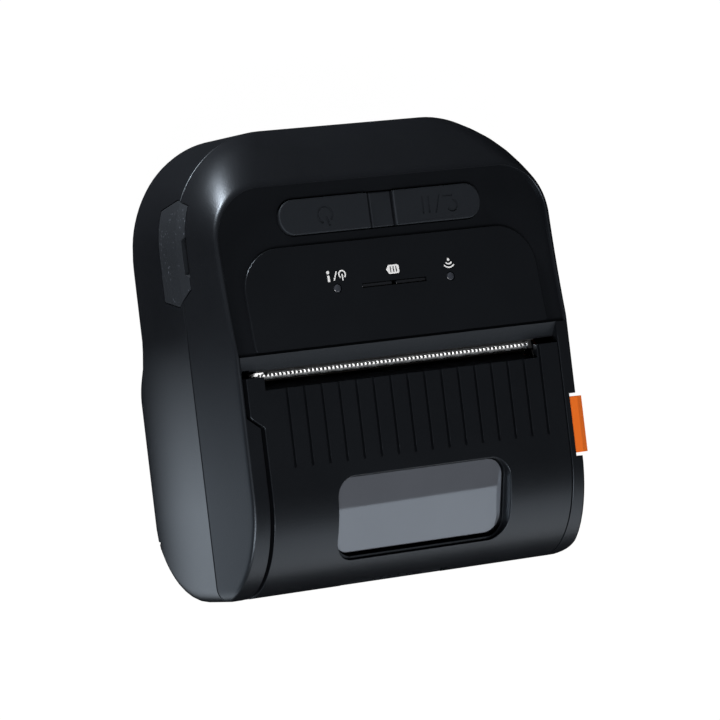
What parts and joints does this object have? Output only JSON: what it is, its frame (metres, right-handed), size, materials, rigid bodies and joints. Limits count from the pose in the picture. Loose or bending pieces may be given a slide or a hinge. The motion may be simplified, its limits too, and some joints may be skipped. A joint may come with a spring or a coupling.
{
  "type": "label printer",
  "caption": "Handheld thermal label printer with a hinged paper cover, viewing window, key field, side release lever and removable battery.",
  "frame": {"origin": "centre of the bounding box on the plane that the printer's back lies on", "axes": "+X to the right as seen from the front, +Y along the long side towards the key end, +Z out of the front face"},
  "size_m": [0.1056, 0.1184, 0.0533],
  "materials": {
    "case_plastic": "fine textured black plastic",
    "panel_plastic": "smooth black overlay with white pictograms",
    "key_rubber": "soft matt black rubber",
    "lamp_lens": "smoked clear lens",
    "window_plastic": "smoked transparent plastic",
    "lever_plastic": "orange plastic",
    "bright_steel": "plain bright steel",
    "inner_plastic": "plain dark grey plastic",
    "gear_plastic": "natural acetal",
    "gear_brass": "turned brass",
    "roller_rubber": "ground black silicone rubber",
    "head_ceramic": "glazed ceramic",
    "sink_aluminium": "plain aluminium",
    "circuit_board": "green solder mask"
  },
  "bodies": {
    "case": {"rear_shell": "case_plastic", "front_shell": "case_plastic", "indicator_panel": "panel_plastic", "key_bridge": "key_rubber", "status_lens_left": "lamp_lens", "status_lens_right": "lamp_lens", "battery_level_lens": "lamp_lens", "tear_bar": "bright_steel", "lever_pivot_pin": "bright_steel", "latch_spring": "bright_steel", "media_tub": "inner_plastic", "first_idler_axle": "bright_steel", "second_idler_axle": "bright_steel", "stepper_motor": "bright_steel", "mechanism_frame": "bright_steel", "print_head": "head_ceramic", "head_heat_sink": "sink_aluminium", "head_spring_left": "bright_steel", "head_spring_right": "bright_steel", "head_flat_cable": "gear_plastic", "main_board": "circuit_board", "key_board": "circuit_board", "power_switch": "inner_plastic", "feed_switch": "inner_plastic", "usb_socket": "bright_steel", "power_socket": "inner_plastic", "media_sensor": "inner_plastic", "hinge_pin": "bright_steel", "cover_spring": "bright_steel", "battery_pack": "case_plastic", "battery_contacts": "gear_brass", "case_screw_1": "bright_steel", "case_screw_2": "bright_steel", "case_screw_3": "bright_steel", "case_screw_4": "bright_steel"},
    "cover": {"paper_cover": "case_plastic", "cover_window": "window_plastic", "window_bezel": "key_rubber", "platen_bush_left": "gear_plastic", "platen_bush_right": "gear_plastic"},
    "platen": {"platen_roller": "roller_rubber", "platen_shaft": "bright_steel", "platen_gear": "gear_plastic"},
    "first_idler": {"first_idler_gear": "gear_plastic"},
    "second_idler": {"second_idler_gear": "gear_plastic"},
    "rotor": {"motor_pinion": "gear_brass", "motor_shaft": "bright_steel"},
    "latch": {"latch_shaft": "bright_steel"},
    "lever": {"release_lever": "lever_plastic"},
    "power_button": {"power_key": "key_rubber"},
    "feed_button": {"feed_key": "key_rubber"},
    "port_flap": {"port_cover": "key_rubber"},
    "guide_left": {"media_guide_left": "inner_plastic"},
    "guide_right": {"media_guide_right": "inner_plastic"},
    "centring_pinion": {"guide_pinion": "gear_plastic"},
    "battery_catch": {"battery_latch": "inner_plastic"}
  },
  "joints": [
    {"name": "cover_hinge", "type": "hinge", "parent": "case", "child": "cover", "pos_m": [0, -0.0566, 0.0364], "axis": [1, 0, 0], "range_deg": [0, 100]},
    {"name": "platen_spin", "type": "hinge", "parent": "cover", "child": "platen", "pos_m": [0, -0.0102, 0.0435], "axis": [1, 0, 0], "continuous": true},
    {"name": "first_idler_spin", "type": "hinge", "parent": "case", "child": "first_idler", "pos_m": [0, -0.0078, 0.03113], "axis": [1, 0, 0], "continuous": true},
    {"name": "second_idler_spin", "type": "hinge", "parent": "case", "child": "second_idler", "pos_m": [0, 0.00894, 0.02967], "axis": [1, 0, 0], "continuous": true},
    {"name": "motor_spin", "type": "hinge", "parent": "case", "child": "rotor", "pos_m": [0, 0.02096, 0.03346], "axis": [1, 0, 0], "continuous": true},
    {"name": "latch_turn", "type": "hinge", "parent": "case", "child": "latch", "pos_m": [0, 0.008, 0.034], "axis": [1, 0, 0], "range_deg": [-9.8, 0], "stiffness_Nm_per_rad": 0.05},
    {"name": "lever_rock", "type": "hinge", "parent": "case", "child": "lever", "pos_m": [0.05, -0.012, 0.047], "axis": [1, 0, 0], "range_deg": [0, 7.1]},
    {"name": "power_press", "type": "slide", "parent": "case", "child": "power_button", "axis": [0, 0, -1], "range_m": [0, 0.0006], "stiffness_N_per_m": 800},
    {"name": "feed_press", "type": "slide", "parent": "case", "child": "feed_button", "axis": [0, 0, -1], "range_m": [0, 0.0006], "stiffness_N_per_m": 800},
    {"name": "port_flap_swing", "type": "hinge", "parent": "case", "child": "port_flap", "pos_m": [-0.05194, 0.03, 0.023], "axis": [0, -1, 0], "range_deg": [0, 110]},
    {"name": "guide_left_slide", "type": "slide", "parent": "case", "child": "guide_left", "axis": [1, 0, 0], "range_m": [0, 0.014]},
    {"name": "guide_right_slide", "type": "slide", "parent": "case", "child": "guide_right", "axis": [1, 0, 0], "range_m": [-0.014, 0]},
    {"name": "centring_pinion_spin", "type": "hinge", "parent": "case", "child": "centring_pinion", "pos_m": [0, -0.0355, 0.005], "axis": [0, 0, 1], "range_deg": [-201, 0]},
    {"name": "battery_catch_slide", "type": "slide", "parent": "case", "child": "battery_catch", "axis": [0, 1, 0], "range_m": [0, 0.0015], "stiffness_N_per_m": 500}
  ],
  "couplings": [
    {"joint": "first_idler_spin", "follows": "platen_spin", "ratio": -0.75},
    {"joint": "second_idler_spin", "follows": "platen_spin", "ratio": 0.5625},
    {"joint": "motor_spin", "follows": "platen_spin", "ratio": -1.8},
    {"joint": "lever_rock", "follows": "latch_turn", "ratio": -0.7143},
    {"joint": "guide_right_slide", "follows": "guide_left_slide", "ratio": -1},
    {"joint": "centring_pinion_spin", "follows": "guide_left_slide", "rad_per_m": -250}
  ]
}
